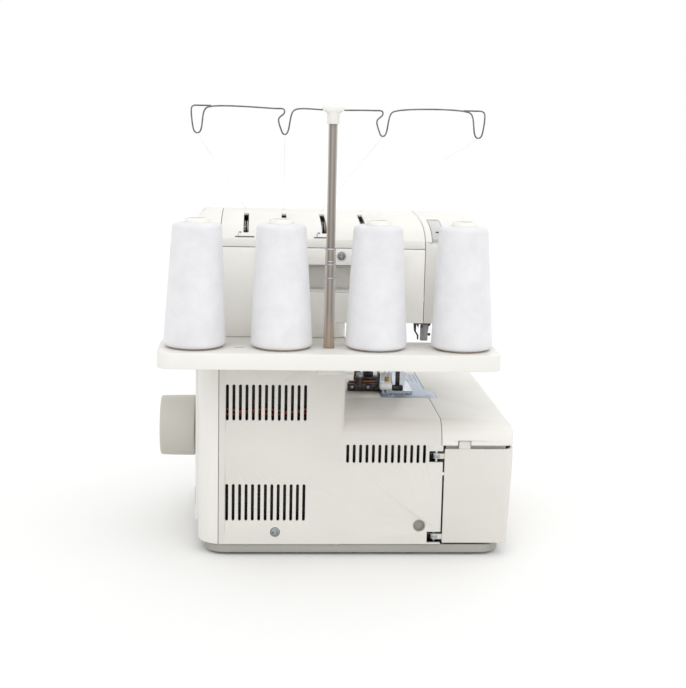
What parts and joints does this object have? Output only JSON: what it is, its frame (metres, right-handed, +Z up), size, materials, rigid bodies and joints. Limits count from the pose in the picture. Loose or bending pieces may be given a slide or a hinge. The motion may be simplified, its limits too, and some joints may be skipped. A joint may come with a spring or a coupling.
{
  "type": "serger overlock machine",
  "caption": "Cone-fed overlock sewing machine with a rear thread stand, telescopic wire guide, drop-down looper cover, side door and handwheel.",
  "frame": {"origin": "on the table under the middle of the whole machine, stand and handwheel included", "axes": "+Z up, -Y towards the operator, +X towards the handwheel"},
  "size_m": [0.325, 0.3158, 0.405],
  "materials": {
    "cover": "moulded, fine spark texture",
    "stand": "moulded, satin",
    "tray": "moulded, matte grey-beige",
    "rubber": "soft black",
    "wheel": "moulded, warm grey",
    "steel": "ground and polished",
    "blued": "dark oxide",
    "casting": "die cast",
    "tube": "wound board",
    "thread": "spun polyester",
    "black": "moulded black",
    "grey": "moulded grey",
    "belt": "ribbed belt"
  },
  "bodies": {
    "machine": {"base_tray": "tray", "foot_rear_right": "rubber", "foot_rear_left": "rubber", "foot_front_right": "rubber", "foot_front_left": "rubber", "rear_panel": "cover", "end_cover": "cover", "arm_rear_cover": "cover", "top_cover": "cover", "front_panel": "cover", "face_cover": "cover", "cloth_plate": "cover", "stand_bracket": "cover", "needle_plate": "steel", "door_hinge_pin": "steel", "lower_knife": "steel", "pole_outer_tube": "steel", "main_frame": "casting", "motor": "blued", "drive_belt": "belt", "cone_stand": "stand", "cone_tube_1": "tube", "cone_tube_2": "tube", "cone_tube_3": "tube", "cone_tube_4": "tube", "cone_thread_1": "thread", "cone_thread_2": "thread", "cone_thread_3": "thread", "cone_thread_4": "thread", "thread_strand_1": "thread", "thread_strand_2": "thread", "thread_strand_3": "thread", "thread_strand_4": "thread", "power_inlet": "black"},
    "thread_guide": {"pole_inner_tube": "steel", "guide_cap": "stand", "guide_wire": "blued"},
    "drive_shaft": {"handwheel": "wheel", "main_shaft": "steel"},
    "motor_rotor": {"motor_pulley": "blued"},
    "needle_drive": {"needle_bar": "steel", "needle_clamp": "steel", "needle_left": "steel", "needle_right": "steel"},
    "presser": {"presser_bar": "blued", "presser_foot": "steel"},
    "lifter": {"presser_lever": "grey"},
    "looper_upper": {"upper_looper": "steel"},
    "looper_lower": {"lower_looper": "steel"},
    "knife": {"upper_knife": "blued"},
    "feed": {"feed_dog": "steel"},
    "front_door": {"looper_cover": "cover"},
    "end_door": {"side_door": "cover"},
    "length_dial": {"stitch_length_dial": "grey"},
    "feed_lever": {"differential_lever": "grey"},
    "rocker": {"power_switch": "black"},
    "tension_1": {"tension_dial_1": "grey"},
    "tension_2": {"tension_dial_2": "grey"},
    "tension_3": {"tension_dial_3": "grey"},
    "tension_4": {"tension_dial_4": "grey"}
  },
  "joints": [
    {"name": "guide_slide", "type": "slide", "parent": "machine", "child": "thread_guide", "axis": [0, 0, 1], "range_m": [-0.06, 0], "deforming": ["thread_strand_1", "thread_strand_2", "thread_strand_3", "thread_strand_4"]},
    {"name": "handwheel_turn", "type": "hinge", "parent": "machine", "child": "drive_shaft", "pos_m": [0.1325, -0.0001, 0.1005], "axis": [1, 0, 0], "continuous": true},
    {"name": "motor_turn", "type": "hinge", "parent": "machine", "child": "motor_rotor", "pos_m": [0.0925, -0.0601, 0.052], "axis": [1, 0, 0], "continuous": true},
    {"name": "needle_bar_slide", "type": "slide", "parent": "machine", "child": "needle_drive", "axis": [0, 0, 1], "range_m": [-0.028, 0]},
    {"name": "presser_bar_slide", "type": "slide", "parent": "machine", "child": "presser", "axis": [0, 0, 1], "range_m": [0, 0.006]},
    {"name": "presser_lever_lift", "type": "hinge", "parent": "machine", "child": "lifter", "pos_m": [-0.0895, 0.0239, 0.294], "axis": [1, 0, 0], "range_deg": [0, 30]},
    {"name": "upper_looper_swing", "type": "hinge", "parent": "machine", "child": "looper_upper", "pos_m": [-0.0335, -0.0711, 0.062], "axis": [0, 1, 0], "range_deg": [-2, 14]},
    {"name": "lower_looper_swing", "type": "hinge", "parent": "machine", "child": "looper_lower", "pos_m": [-0.0795, -0.0511, 0.044], "axis": [0, 1, 0], "range_deg": [-14, 2]},
    {"name": "upper_knife_slide", "type": "slide", "parent": "machine", "child": "knife", "axis": [0, 0, 1], "range_m": [-0.006, 0]},
    {"name": "feed_dog_slide", "type": "slide", "parent": "machine", "child": "feed", "axis": [0, 1, 0], "range_m": [-0.002, 0.002]},
    {"name": "looper_cover_fold", "type": "hinge", "parent": "machine", "child": "front_door", "pos_m": [-0.0575, -0.1441, 0.017], "axis": [1, 0, 0], "range_deg": [0, 85]},
    {"name": "side_door_swing", "type": "hinge", "parent": "machine", "child": "end_door", "pos_m": [-0.0919, 0.0849, 0.056], "axis": [0, 0, -1], "range_deg": [0, 95]},
    {"name": "stitch_length_turn", "type": "hinge", "parent": "machine", "child": "length_dial", "pos_m": [0.0805, -0.1501, 0.152], "axis": [0, -1, 0], "range_deg": [-120, 120]},
    {"name": "differential_turn", "type": "hinge", "parent": "machine", "child": "feed_lever", "pos_m": [0.0445, -0.1501, 0.152], "axis": [0, -1, 0], "range_deg": [-50, 50]},
    {"name": "power_switch_rock", "type": "hinge", "parent": "machine", "child": "rocker", "pos_m": [0.1215, -0.0601, 0.044], "axis": [0, 1, 0], "range_deg": [-6, 0]},
    {"name": "tension_dial_1_turn", "type": "hinge", "parent": "machine", "child": "tension_1", "pos_m": [0.0829, -0.1401, 0.25], "axis": [0, -1, 0], "range_deg": [-150, 150]},
    {"name": "tension_dial_2_turn", "type": "hinge", "parent": "machine", "child": "tension_2", "pos_m": [0.0482, -0.1401, 0.25], "axis": [0, -1, 0], "range_deg": [-150, 150]},
    {"name": "tension_dial_3_turn", "type": "hinge", "parent": "machine", "child": "tension_3", "pos_m": [0.0127, -0.1401, 0.25], "axis": [0, -1, 0], "range_deg": [-150, 150]},
    {"name": "tension_dial_4_turn", "type": "hinge", "parent": "machine", "child": "tension_4", "pos_m": [-0.023, -0.1401, 0.25], "axis": [0, -1, 0], "range_deg": [-150, 150]}
  ],
  "couplings": [
    {"joint": "motor_turn", "follows": "handwheel_turn", "ratio": 2.4444},
    {"joint": "presser_lever_lift", "follows": "presser_bar_slide", "rad_per_m": 87.2}
  ]
}
